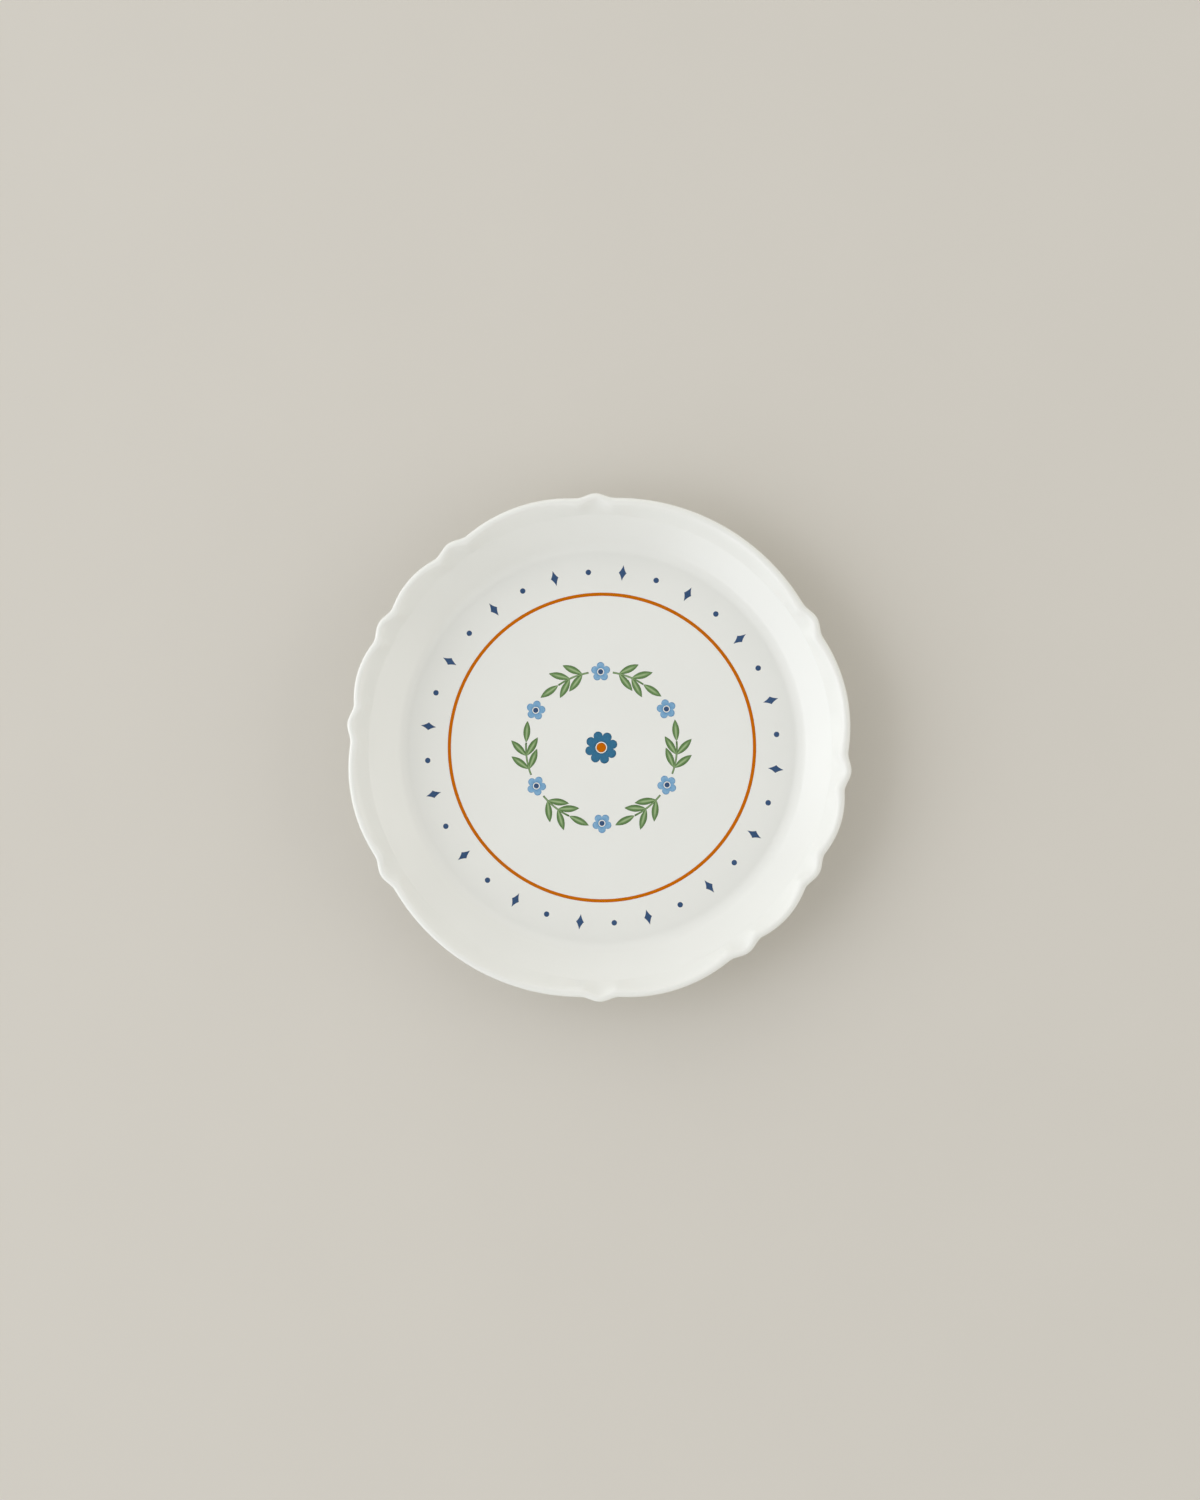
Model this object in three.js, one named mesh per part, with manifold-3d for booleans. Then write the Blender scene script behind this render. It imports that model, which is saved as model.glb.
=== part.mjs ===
// Cake plate in white glazed porcelain: a flat well, a curved wall, and an upturned lip whose round
// edge is drawn into ten scallops parted by ten small nubs. Enamel transfers, fired on to the
// glaze, decorate the floor of the well: a border, a line and a wreath round a rosette.
// Millimetres, +Z up. The origin lies on the plate's axis, level with the face of the foot ring.
// +X runs through the nub between the two shortest scallops, so X and Y both mirror the plate.

import * as THREE from "three";
import { mergeVertices } from "three/addons/utils/BufferGeometryUtils.js";
import Module from "manifold-3d";

const wasm = await Module();
wasm.setup();

// Body sizes, measured on a section through the crest of a scallop
const RIM_DIAMETER = 165; // over the crests
const FLOOR_THICKNESS = 3.6;
const WALL_THICKNESS = 3;
const LIP_THICKNESS = 2.5; // at the round edge, to which the lip thins from the wall
const WELL_FILLET = 11; // bend from the floor into the wall, on the face
const WALL_ANGLE = 40; // degrees from the table
const WALL_LENGTH = 9.1; // straight stretch, up the slope
const SHOULDER_BEND = 5; // bend from the wall into the lip, on the face
const LIP_UPTURN = 7; // degrees by which the lip is steeper than the wall
const LIP_LENGTH = 6.2; // straight stretch from the shoulder to the round edge

// Foot ring
const FOOT_INSET = 12.5; // from the edge of the flat floor in to the middle of the ring
const FOOT_WIDTH = 2.4; // bare face that the plate stands on
const FOOT_HEIGHT = 3.2;
const FOOT_ROUND = 0.5; // eased edge on both sides of that face
const FOOT_FLARE = 1.1; // how far each flank spreads where it meets the base

// Scalloped edge: each scallop's share of the turn, read from +X, with a nub at every joint
const SCALLOP_SHARES = [2, 3, 5, 3, 2, 2, 3, 5, 3, 2];
const SCALLOP_DEPTH = 1.35; // from the crests in to the valleys beside a nub
const CREASE_DEPTH = 1.9; // the same on the face of the lip, just below the edge
const NUB_WIDTH = 12.7; // from valley to valley

// Transfers
const TRANSFER_THICKNESS = 0.08;
const EDGE_MARGIN = 1.4; // bare floor outside the border
const BORDER_COUNT = 16; // lozenges, and as many dots between them
const LOZENGE_LENGTH = 5.2;
const LOZENGE_WIDTH = 2.6;
const LOZENGE_WAIST = 0.36; // how far the sides bow in: 0 is a cross, 0.5 a plain lozenge
const DOT_DIAMETER = 1.8;
const BAND_GAP = 4.2; // bare ring between the border and the line
const BAND_WIDTH = 1.1;
const BLOSSOM_COUNT = 6;
const BLOSSOM_PETALS = 5;
const BLOSSOM_RADIUS = 3.2;
const BLOSSOM_NOTCH = 2.1; // from the middle out to the notch between two petals
const BLOSSOM_EYE = 1.7; // diameter
const STEM_WIDTH = 0.6;
const STEM_GAP = 0.8; // bare floor between a blossom and the sprig beside it
const LEAF_LENGTH = 7.2;
const LEAF_WIDTH = 2.3;
const LEAF_SPREAD = 38; // degrees between a side leaf and the stem
const LEAF_SPACING = 4.4; // along the stem
const ROSETTE_PETALS = 8;
const ROSETTE_RADIUS = 5.4;
const ROSETTE_NOTCH = 3.9;
const ROSETTE_EYE = 3.2; // diameter
const EYE_GAP = 0.3; // bare ring round the eye of a flower

// Facets
const FILLET_STEPS = 4;
const SHOULDER_STEPS = 2;
const EDGE_STEPS = 8;
const NUB_STEPS = 6;
const SCALLOP_STEP = 6.5; // longest facet along a scallop
const BAND_STEPS = 24; // in a quarter turn
const STEM_STEPS = 3; // in half a stem
const LEAF_STEPS = 5; // on each side
const PETAL_STEPS = 2; // in half a petal
const LOZENGE_STEPS = 3; // on each side
const DOT_STEPS = 3; // in a quarter turn

// Colours of the fired pieces
const PORCELAIN = new THREE.MeshStandardMaterial({ color: 0xe9e9e2, roughness: 0.15, metalness: 0 });
const BROWN = new THREE.MeshStandardMaterial({ color: 0xc86a00, roughness: 0.25, metalness: 0 });
const GREEN = new THREE.MeshStandardMaterial({ color: 0x668755, roughness: 0.25, metalness: 0 });
const SKY_BLUE = new THREE.MeshStandardMaterial({ color: 0x85add0, roughness: 0.25, metalness: 0 });
const COBALT = new THREE.MeshStandardMaterial({ color: 0x38708f, roughness: 0.25, metalness: 0 });
const SLATE_BLUE = new THREE.MeshStandardMaterial({ color: 0x3c557a, roughness: 0.25, metalness: 0 });

const degrees = THREE.MathUtils.degToRad;
const FULL_TURN = Math.PI * 2;

// Heights and radii that follow from the sizes
const floorTop = FOOT_HEIGHT + FLOOR_THICKNESS;
const rimRadius = RIM_DIAMETER / 2;
const wallAngle = degrees(WALL_ANGLE);
const lipAngle = wallAngle + degrees(LIP_UPTURN);
const edgeRadius = LIP_THICKNESS / 2;

// A point of the section on the face, with the direction of the face there and the wall behind it
function facePoint(radius, height, angle, thickness) {
  return { radius, height, angle, thickness };
}

// The same point carried through the wall to the back
function backPoint(face) {
  return {
    radius: face.radius + Math.sin(face.angle) * face.thickness,
    height: face.height - Math.cos(face.angle) * face.thickness,
  };
}

// The face from the edge of the floor to the round edge, starting from a radius of 0
function faceCurve() {
  const points = [];
  for (let step = 0; step <= FILLET_STEPS; step++) {
    const share = step / FILLET_STEPS;
    const angle = wallAngle * share;
    const radius = WELL_FILLET * Math.sin(angle);
    const height = floorTop + WELL_FILLET * (1 - Math.cos(angle));
    const thickness = THREE.MathUtils.lerp(FLOOR_THICKNESS, WALL_THICKNESS, share);
    points.push(facePoint(radius, height, angle, thickness));
  }
  const foot = points.at(-1);
  const topRadius = foot.radius + WALL_LENGTH * Math.cos(wallAngle);
  const topHeight = foot.height + WALL_LENGTH * Math.sin(wallAngle);
  for (let step = 0; step <= SHOULDER_STEPS; step++) {
    const angle = THREE.MathUtils.lerp(wallAngle, lipAngle, step / SHOULDER_STEPS);
    const radius = topRadius + SHOULDER_BEND * (Math.sin(angle) - Math.sin(wallAngle));
    const height = topHeight + SHOULDER_BEND * (Math.cos(wallAngle) - Math.cos(angle));
    points.push(facePoint(radius, height, angle, WALL_THICKNESS));
  }
  const shoulder = points.at(-1);
  const lipRadius = shoulder.radius + LIP_LENGTH * Math.cos(lipAngle);
  const lipHeight = shoulder.height + LIP_LENGTH * Math.sin(lipAngle);
  points.push(facePoint(lipRadius, lipHeight, lipAngle, LIP_THICKNESS));
  return points;
}

// Centre of the edge's circle, which the face and the back of the lip run into
function edgeCentre(lipEnd) {
  return {
    radius: lipEnd.radius + edgeRadius * Math.sin(lipAngle),
    height: lipEnd.height - edgeRadius * Math.cos(lipAngle),
  };
}

// The rim's diameter rules: the flat floor is what the wall, the lip and the edge leave of it
const face = faceCurve();
const floorRadius = rimRadius - edgeCentre(face.at(-1)).radius - edgeRadius;
for (const point of face) {
  point.radius += floorRadius;
}
const edge = edgeCentre(face.at(-1));

// Layout of the transfers on the flat floor, from its edge inwards
const borderRadius = floorRadius - EDGE_MARGIN - LOZENGE_LENGTH / 2;
const bandOuter = borderRadius - LOZENGE_LENGTH / 2 - BAND_GAP;
const bandInner = bandOuter - BAND_WIDTH;
const wreathRadius = bandInner / 2; // midway between the middle of the plate and the line

// A share of a swing that grows evenly from one radius to another
function swingBetween(radius, fromRadius, toRadius, fromSwing, toSwing) {
  const share = THREE.MathUtils.clamp((radius - fromRadius) / (toRadius - fromRadius), 0, 1);
  return THREE.MathUtils.lerp(fromSwing, toSwing, share);
}

// The whole section, from the middle of the floor over the lip to the middle of the base. Each
// point's swing is how far it is drawn in at the valleys of the edge.
function section() {
  const points = [];
  const add = (radius, height, swing = 0) => points.push({ radius, height, swing });
  const wallTop = face[FILLET_STEPS + 1].radius;
  const lipEnd = face.at(-1);

  // Floor: a ring on each side of the bare floor between the wreath's leaves and the line
  add(wreathRadius + LEAF_LENGTH, floorTop);
  add(bandInner, floorTop);
  for (const point of face) {
    const swing = swingBetween(point.radius, wallTop, lipEnd.radius, 0, CREASE_DEPTH);
    add(point.radius, point.height, swing);
  }

  // Round edge: over the top from the face of the lip to its back
  for (let step = 1; step <= EDGE_STEPS; step++) {
    const angle = lipAngle + Math.PI / 2 - (Math.PI * step) / EDGE_STEPS;
    const radius = edge.radius + edgeRadius * Math.cos(angle);
    const height = edge.height + edgeRadius * Math.sin(angle);
    const swing = swingBetween(radius, lipEnd.radius, edge.radius, CREASE_DEPTH, SCALLOP_DEPTH);
    add(radius, height, swing);
  }

  // Back of the lip, wall and fillet
  const back = face.slice(0, -1).reverse().map(backPoint);
  const backTop = backPoint(face[FILLET_STEPS + 1]).radius;
  for (const point of back) {
    const swing = swingBetween(point.radius, backTop, edge.radius, 0, SCALLOP_DEPTH);
    add(point.radius, point.height, swing);
  }

  // Foot ring: outer flank, bare face, inner flank
  const ringRadius = floorRadius - FOOT_INSET;
  const halfFace = FOOT_WIDTH / 2;
  const halfRing = halfFace + FOOT_ROUND;
  add(ringRadius + halfRing + FOOT_FLARE, FOOT_HEIGHT);
  add(ringRadius + halfRing, FOOT_ROUND);
  add(ringRadius + halfFace, 0);
  add(ringRadius - halfFace, 0);
  add(ringRadius - halfRing, FOOT_ROUND);
  add(ringRadius - halfRing - FOOT_FLARE, FOOT_HEIGHT);
  return points;
}

// Stations round the edge: an angle, and how much of each swing the section takes there. It takes
// none on the crest of a scallop or a nub, and all of it in the valleys beside a nub.
function edgeStations() {
  const stations = [];
  const shareAngle = FULL_TURN / SCALLOP_SHARES.reduce((sum, share) => sum + share, 0);
  const nubHalf = NUB_WIDTH / RIM_DIAMETER;
  const nubHalfSteps = NUB_STEPS / 2;
  const nubDraw = (share) => (1 - Math.cos(Math.PI * share)) / 2;
  let start = 0;
  for (const share of SCALLOP_SHARES) {
    const end = start + share * shareAngle;
    const half = (end - start) / 2 - nubHalf;
    const middle = (start + end) / 2;
    const steps = Math.max(2, Math.round((2 * half * rimRadius) / SCALLOP_STEP));
    for (let step = 0; step < nubHalfSteps; step++) {
      const along = step / nubHalfSteps;
      stations.push({ angle: start + nubHalf * along, draw: nubDraw(along) });
    }
    for (let step = 0; step < steps; step++) {
      const along = (2 * step) / steps - 1;
      stations.push({ angle: middle + half * along, draw: along ** 2 });
    }
    for (let step = 0; step < nubHalfSteps; step++) {
      const along = 1 - step / nubHalfSteps;
      stations.push({ angle: end - nubHalf * along, draw: nubDraw(along) });
    }
    start = end;
  }
  return stations;
}

// The body: the section swept round the axis, closed at the middle of the floor and of the base
function plateGeometry() {
  const rings = section();
  const stations = edgeStations();
  const count = stations.length;
  const positions = [];
  const index = [];
  for (const ring of rings) {
    for (const station of stations) {
      const radius = ring.radius - ring.swing * station.draw;
      positions.push(radius * Math.cos(station.angle), radius * Math.sin(station.angle), ring.height);
    }
  }
  const topMiddle = rings.length * count;
  const baseMiddle = topMiddle + 1;
  const lastRing = (rings.length - 1) * count;
  positions.push(0, 0, floorTop);
  positions.push(0, 0, FOOT_HEIGHT);
  for (let here = 0; here < count; here++) {
    const next = (here + 1) % count;
    index.push(topMiddle, here, next);
    index.push(baseMiddle, lastRing + next, lastRing + here);
    for (let row = 0; row < lastRing; row += count) {
      index.push(row + here, row + count + here, row + count + next);
      index.push(row + here, row + count + next, row + next);
    }
  }
  const geometry = new THREE.BufferGeometry();
  geometry.setAttribute("position", new THREE.Float32BufferAttribute(positions, 3));
  geometry.setIndex(index);
  geometry.computeVertexNormals();
  return geometry;
}

// A flat patch of enamel of one outline
function patch(shape, curveSegments) {
  const depth = TRANSFER_THICKNESS;
  return new THREE.ExtrudeGeometry(shape, { depth, curveSegments, bevelEnabled: false });
}

// Several patches joined into one
function joinPatches(patches) {
  const solids = patches.map((geometry) => {
    geometry.deleteAttribute("normal");
    geometry.deleteAttribute("uv");
    const merged = mergeVertices(geometry);
    const vertProperties = merged.attributes.position.array;
    const triVerts = new Uint32Array(merged.index.array);
    return new wasm.Manifold(new wasm.Mesh({ numProp: 3, vertProperties, triVerts }));
  });
  const mesh = solids.reduce((joined, solid) => joined.add(solid)).getMesh();
  const geometry = new THREE.BufferGeometry();
  geometry.setAttribute("position", new THREE.Float32BufferAttribute(mesh.vertProperties, 3));
  geometry.setIndex(new THREE.Uint32BufferAttribute(mesh.triVerts, 1));
  geometry.computeVertexNormals();
  return geometry;
}

// A round hole or disc outline, turning clockwise for a hole
function circle(OutlineClass, radius, clockwise) {
  const outline = new OutlineClass();
  outline.absarc(0, 0, radius, 0, clockwise ? -Math.PI : Math.PI, clockwise);
  outline.absarc(0, 0, radius, Math.PI, clockwise ? 0 : FULL_TURN, clockwise);
  return outline;
}

function discGeometry(diameter) {
  return patch(circle(THREE.Shape, diameter / 2, false), DOT_STEPS);
}

// The plain line round the well
function bandGeometry() {
  const shape = circle(THREE.Shape, bandOuter, false);
  shape.holes.push(circle(THREE.Path, bandInner, true));
  return patch(shape, BAND_STEPS);
}

// A flower of round petals with a hole for its eye. A petal is an arc through its tip and the
// notches on both sides of it.
function flowerGeometry(petals, radius, notch, eyeDiameter) {
  const half = Math.PI / petals;
  const centre = (radius ** 2 - notch ** 2) / (2 * (radius - notch * Math.cos(half)));
  const sweep = Math.atan2(notch * Math.sin(half), notch * Math.cos(half) - centre);
  const shape = new THREE.Shape();
  for (let petal = 0; petal < petals; petal++) {
    const angle = 2 * half * petal;
    const x = centre * Math.cos(angle);
    const y = centre * Math.sin(angle);
    shape.absarc(x, y, radius - centre, angle - sweep, angle + sweep, false);
  }
  shape.holes.push(circle(THREE.Path, eyeDiameter / 2 + EYE_GAP, true));
  return patch(shape, PETAL_STEPS);
}

// A lozenge with its sides bowed in, its length along X
function lozengeGeometry() {
  const x = LOZENGE_LENGTH / 2;
  const y = LOZENGE_WIDTH / 2;
  const bowX = x * LOZENGE_WAIST;
  const bowY = y * LOZENGE_WAIST;
  const shape = new THREE.Shape();
  shape.moveTo(x, 0);
  shape.quadraticCurveTo(bowX, bowY, 0, y);
  shape.quadraticCurveTo(-bowX, bowY, -x, 0);
  shape.quadraticCurveTo(-bowX, -bowY, 0, -y);
  shape.quadraticCurveTo(bowX, -bowY, x, 0);
  return patch(shape, LOZENGE_STEPS);
}

// A leaf that leaves the stem at an angle of the wreath, turned away from the spoke there
function leafGeometry(stemAngle, turn) {
  const shape = new THREE.Shape();
  const middle = LEAF_LENGTH / 2;
  shape.moveTo(0, 0);
  shape.quadraticCurveTo(middle, -LEAF_WIDTH, LEAF_LENGTH, 0);
  shape.quadraticCurveTo(middle, LEAF_WIDTH, 0, 0);
  const geometry = patch(shape, LEAF_STEPS);
  geometry.rotateZ(stemAngle + turn);
  geometry.translate(wreathRadius * Math.cos(stemAngle), wreathRadius * Math.sin(stemAngle), 0);
  return geometry;
}

// One sprig of the wreath, which grows from the blossom at angle 0 towards the next one. Direction
// is 1 to grow anticlockwise and -1 to grow clockwise. A stem follows the wreath's circle, with a
// leaf at its end and pairs of leaves as far back as there is room.
function sprigGeometry(direction) {
  const margin = (BLOSSOM_RADIUS + STEM_GAP) / wreathRadius;
  const start = margin;
  const end = FULL_TURN / BLOSSOM_COUNT - margin - LEAF_LENGTH / wreathRadius;
  const stem = new THREE.Shape();
  const halfStem = STEM_WIDTH / 2;
  const overlap = halfStem / wreathRadius;
  const first = direction * start;
  const last = direction * (end + overlap);
  stem.absarc(0, 0, wreathRadius + halfStem, first, last, direction < 0);
  stem.absarc(0, 0, wreathRadius - halfStem, last, first, direction > 0);
  const growth = (direction * Math.PI) / 2;
  const spread = degrees(LEAF_SPREAD);
  const patches = [patch(stem, STEM_STEPS), leafGeometry(direction * end, growth)];
  const spacing = LEAF_SPACING / wreathRadius;
  for (let place = end - spacing; place > start; place -= spacing) {
    patches.push(leafGeometry(direction * place, growth - spread));
    patches.push(leafGeometry(direction * place, growth + spread));
  }
  return joinPatches(patches);
}

function named(name, geometry, material) {
  const mesh = new THREE.Mesh(geometry, material);
  mesh.name = name;
  return mesh;
}

// A patch set at a radius on the spoke at an angle, and turned with it
function onSpoke(name, geometry, material, radius, angle) {
  const spoke = new THREE.Group();
  const mesh = named(name, geometry, material);
  mesh.position.x = radius;
  spoke.rotation.z = angle;
  spoke.add(mesh);
  return spoke;
}

const transfers = new THREE.Group();
transfers.position.z = floorTop;
transfers.add(named("band_line", bandGeometry(), BROWN));

const rosette = flowerGeometry(ROSETTE_PETALS, ROSETTE_RADIUS, ROSETTE_NOTCH, ROSETTE_EYE);
transfers.add(named("rosette", rosette, COBALT));
transfers.add(named("rosette_eye", discGeometry(ROSETTE_EYE), BROWN));

// Sprigs grow away from every other blossom on both sides, so that their tips meet at the rest
const sprigOnwards = sprigGeometry(1);
const sprigBack = sprigGeometry(-1);
const blossom = flowerGeometry(BLOSSOM_PETALS, BLOSSOM_RADIUS, BLOSSOM_NOTCH, BLOSSOM_EYE);
const blossomEye = discGeometry(BLOSSOM_EYE);
for (let place = 0; place < BLOSSOM_COUNT; place++) {
  const angle = (FULL_TURN * place) / BLOSSOM_COUNT;
  const nextAngle = (FULL_TURN * (place + 1)) / BLOSSOM_COUNT;
  const number = place + 1;
  const onwards = place % 2 === 0;
  const sprig = onwards ? sprigOnwards : sprigBack;
  transfers.add(onSpoke(`sprig_${number}`, sprig, GREEN, 0, onwards ? angle : nextAngle));
  transfers.add(onSpoke(`blossom_${number}`, blossom, SKY_BLUE, wreathRadius, angle));
  transfers.add(onSpoke(`blossom_eye_${number}`, blossomEye, SLATE_BLUE, wreathRadius, angle));
}

const lozenge = lozengeGeometry();
const dot = discGeometry(DOT_DIAMETER);
for (let place = 0; place < BORDER_COUNT; place++) {
  const angle = (FULL_TURN * place) / BORDER_COUNT;
  const between = angle + Math.PI / BORDER_COUNT;
  const number = String(place + 1).padStart(2, "0");
  transfers.add(onSpoke(`border_lozenge_${number}`, lozenge, SLATE_BLUE, borderRadius, angle));
  transfers.add(onSpoke(`border_dot_${number}`, dot, SLATE_BLUE, borderRadius, between));
}

const cakePlate = new THREE.Group();
cakePlate.add(named("plate_body", plateGeometry(), PORCELAIN));
cakePlate.add(transfers);

export default cakePlate;
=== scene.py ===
"""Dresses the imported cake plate: glazed porcelain, fired enamel transfers and a plain stage.

The plate is one porcelain body with an upturned lip, whose round edge is scalloped. Its decoration
is a set of thin enamel films on the flat floor of the well. Everything is built in metres, in the
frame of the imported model, whose +X axis runs through the nub between the two shortest scallops.
"""

import math
from functools import partial

import bmesh
import bpy
from bpy.props import FloatProperty, FloatVectorProperty, IntProperty, PointerProperty
from mathutils import Matrix, Vector


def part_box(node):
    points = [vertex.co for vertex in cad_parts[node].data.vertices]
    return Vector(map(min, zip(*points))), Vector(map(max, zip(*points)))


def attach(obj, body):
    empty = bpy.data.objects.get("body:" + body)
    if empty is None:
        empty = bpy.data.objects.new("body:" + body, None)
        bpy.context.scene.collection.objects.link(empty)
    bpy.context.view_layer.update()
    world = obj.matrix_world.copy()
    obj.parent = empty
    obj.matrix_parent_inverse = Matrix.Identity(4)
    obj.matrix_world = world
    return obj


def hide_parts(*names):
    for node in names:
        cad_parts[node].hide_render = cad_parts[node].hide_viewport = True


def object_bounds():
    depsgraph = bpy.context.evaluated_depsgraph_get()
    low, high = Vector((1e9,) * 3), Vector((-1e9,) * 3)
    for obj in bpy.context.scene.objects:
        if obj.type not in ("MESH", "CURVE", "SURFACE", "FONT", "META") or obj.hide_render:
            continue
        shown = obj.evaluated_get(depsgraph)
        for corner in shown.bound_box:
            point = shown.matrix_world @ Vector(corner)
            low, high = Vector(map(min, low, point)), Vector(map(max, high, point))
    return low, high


bl_info = {
    "name": "Cake plate",
    "version": (1, 0, 0),
    "blender": (4, 5, 0),
    "location": "View3D > Sidebar > Cake Plate",
    "description": "Builds a scalloped porcelain cake plate with fired enamel transfers",
    "category": "Object",
}

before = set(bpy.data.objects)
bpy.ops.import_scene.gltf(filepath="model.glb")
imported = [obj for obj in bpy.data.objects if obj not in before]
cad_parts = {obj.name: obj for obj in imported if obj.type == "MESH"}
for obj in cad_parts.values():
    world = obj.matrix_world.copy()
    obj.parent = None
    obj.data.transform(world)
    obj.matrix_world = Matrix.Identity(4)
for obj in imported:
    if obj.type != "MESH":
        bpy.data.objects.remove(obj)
CAD_LOW, CAD_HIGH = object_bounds()

MM = 0.001
FULL_TURN = 2 * math.pi

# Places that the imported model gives
BAND_LOW, BAND_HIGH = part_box("band_line")
LOZENGE_LOW, LOZENGE_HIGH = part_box("border_lozenge_01")
EYE_LOW, EYE_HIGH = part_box("blossom_eye_1")
FLOOR_TOP = BAND_LOW.z
BORDER_RADIUS = (LOZENGE_LOW.x + LOZENGE_HIGH.x) / 2
WREATH_RADIUS = (EYE_LOW.x + EYE_HIGH.x) / 2
BLOSSOM_COUNT = sum(name.startswith("blossom_eye_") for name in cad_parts)
BORDER_COUNT = sum(name.startswith("border_dot_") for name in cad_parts)

# Fineness of the body
STEPS_ROUND = 640
ARC_STEP = 0.35 * MM
ARC_STEPS_LEAST = 2
ARC_STEPS_MOST = 16
STRAIGHT_STEP = 2.6 * MM
FLOOR_RINGS = 4
SAME_POINT = 0.1 * MM * MM

# Fineness of the films and of the stage's floor
LINE_STEPS = 360
ROSETTE_STEPS = 160
ROSETTE_EYE_STEPS = 48
BLOSSOM_STEPS = 80
BLOSSOM_EYE_STEPS = 32
LOZENGE_STEPS = 48
DOT_STEPS = 32
LEAF_STEPS = 12
STEM_STEPS = 16
STAGE_CELLS = 8

# The lip's edge is rounded by two bends, each a little smaller than half the lip, so that they
# never overlap
EDGE_BEND_SHARE = 0.99

# Rows across an enamel film: place from one edge to the other, and share of the full thickness
FILM_ROWS = ((0, 0), (0.1, 0.75), (0.24, 1), (0.5, 1), (0.76, 1), (0.9, 0.75), (1, 0))
DISC_ROWS = ((0, 1), (0.45, 1), (0.76, 1), (0.9, 0.75), (1, 0))

# How far an enamel goes towards its pooled colour: at the edge of a film, from copy to copy, and
# in the specks of the print
POOL_DEPTH = 0.75
DRIFT_DEPTH = 0.25
SPECK_DEPTH = 0.45

# The share of a film's thickness up to which it is pooled, and the noise that makes a speck
POOL_THICKNESS = 0.3
SPECK_RANGE = (0.3, 0.7)

# The pale rib of a leaf, in shares of its width and of its length
RIB_STRENGTH = 0.9
RIB_ASIDE = (0.05, 0.12)
RIB_END = (0.6, 0.9)

# The deeper heart of a blossom, in shares of the way from the eye to a petal's tip
HEART_STRENGTH = 0.7
HEART_RANGE = (0.1, 0.6)

# Colour of the brush strokes on the stage floor, as a share of its plain colour
BRUSH_SHADE = 0.97

# Seeds for the tones of the copies in each piece
SEEDS = {
    "brown_line": 1,
    "rosette_petals": 2,
    "rosette_centre": 3,
    "wreath_sprigs": 4,
    "blossoms": 5,
    "blossom_eyes": 6,
    "border_lozenges": 7,
    "border_dots": 8,
}


def linear(hex_colour):
    """Linear red, green and blue of an sRGB colour written as 0xRRGGBB."""
    channels = ((hex_colour >> shift & 0xFF) / 0xFF for shift in (16, 8, 0))
    return [c / 12.92 if c <= 0.04045 else ((c + 0.055) / 1.055) ** 2.4 for c in channels]


def amount(name, description, default, **settings):
    """A number that the sidebar shows."""
    return FloatProperty(name=name, description=description, default=default, **settings)


def length(name, description, metres):
    """A size that the sidebar shows as a length."""
    return amount(name, description, metres, unit="LENGTH", precision=5)


def angle(name, description, degrees):
    """A size that the sidebar shows in degrees."""
    return amount(name, description, math.radians(degrees), subtype="ANGLE")


def portion(name, description, share, most=1):
    """A share of a whole."""
    return amount(name, description, share, min=0, max=most)


def watts(name, description, power):
    """The power of a light."""
    return amount(name, description, power, unit="POWER")


def colour(name, description, hex_colour):
    """A colour that the sidebar shows as a swatch."""
    return FloatVectorProperty(
        name=name, description=description, default=linear(hex_colour), subtype="COLOR", min=0, max=1
    )


class BodySizes(bpy.types.PropertyGroup):
    """Sizes of the porcelain body, on a section through the crest of a scallop."""

    rim_radius: length("Rim radius", "From the axis to the crest of a scallop", CAD_HIGH.x)
    floor_top: length("Floor height", "Face of the well's floor above the table", FLOOR_TOP)
    floor_thickness: length("Floor thickness", "Clay between the well and the base", 3.6 * MM)
    wall_thickness: length("Wall thickness", "Clay in the wall", 3 * MM)
    lip_thickness: length("Lip thickness", "Clay in the lip, at its round edge", 2.5 * MM)
    well_fillet: length("Well fillet", "Bend from the floor into the wall", 7 * MM)
    wall_angle: angle("Wall angle", "Slope of the wall from the table", 40)
    wall_length: length("Wall length", "Straight stretch up the wall", 10.556 * MM)
    shoulder_bend: length("Shoulder bend", "Bend from the wall into the lip, on the face", 5 * MM)
    lip_upturn: angle("Lip upturn", "How much steeper the lip is than the wall", 7)
    lip_length: length("Lip length", "Straight stretch from the shoulder to the edge", 6.2 * MM)
    back_bend: length("Back bend", "Bend from the lip into the wall, on the back", 2.4 * MM)
    base_bend: length("Base bend", "Bend from the wall into the base, on the back", 13 * MM)
    foot_inset: length("Foot inset", "From the floor's edge to the middle of the foot", 13.956 * MM)
    foot_width: length("Foot width", "Bare face that the plate stands on", 2.4 * MM)
    foot_round: length("Foot round", "Height of the eased edges of the foot", 0.5 * MM)
    foot_flare: length("Foot flare", "Spread of each flank up to the base", 1.1 * MM)
    foot_bend: length("Foot bend", "Hollow where the foot meets the base", 0.9 * MM)
    bare_height: length("Bare height", "Clay left without glaze on the foot", 0.32 * MM)
    scallop_depth: length("Scallop depth", "From the crests in to the valleys", 1.35 * MM)
    crease_depth: length("Crease depth", "The same on the face, below the edge", 1.9 * MM)
    valley_ease: portion("Valley ease", "Share of its depth over which a valley is eased", 0.2)
    nub_width: length("Nub width", "From valley to valley across a nub", 12.7 * MM)
    short_scallop: angle("Short scallop", "Turn taken by each of the shortest scallops", 24)
    middle_scallop: angle("Middle scallop", "Turn taken by each scallop beside a long one", 36)
    long_scallop: angle("Long scallop", "Turn taken by each of the longest scallops", 60)


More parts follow.
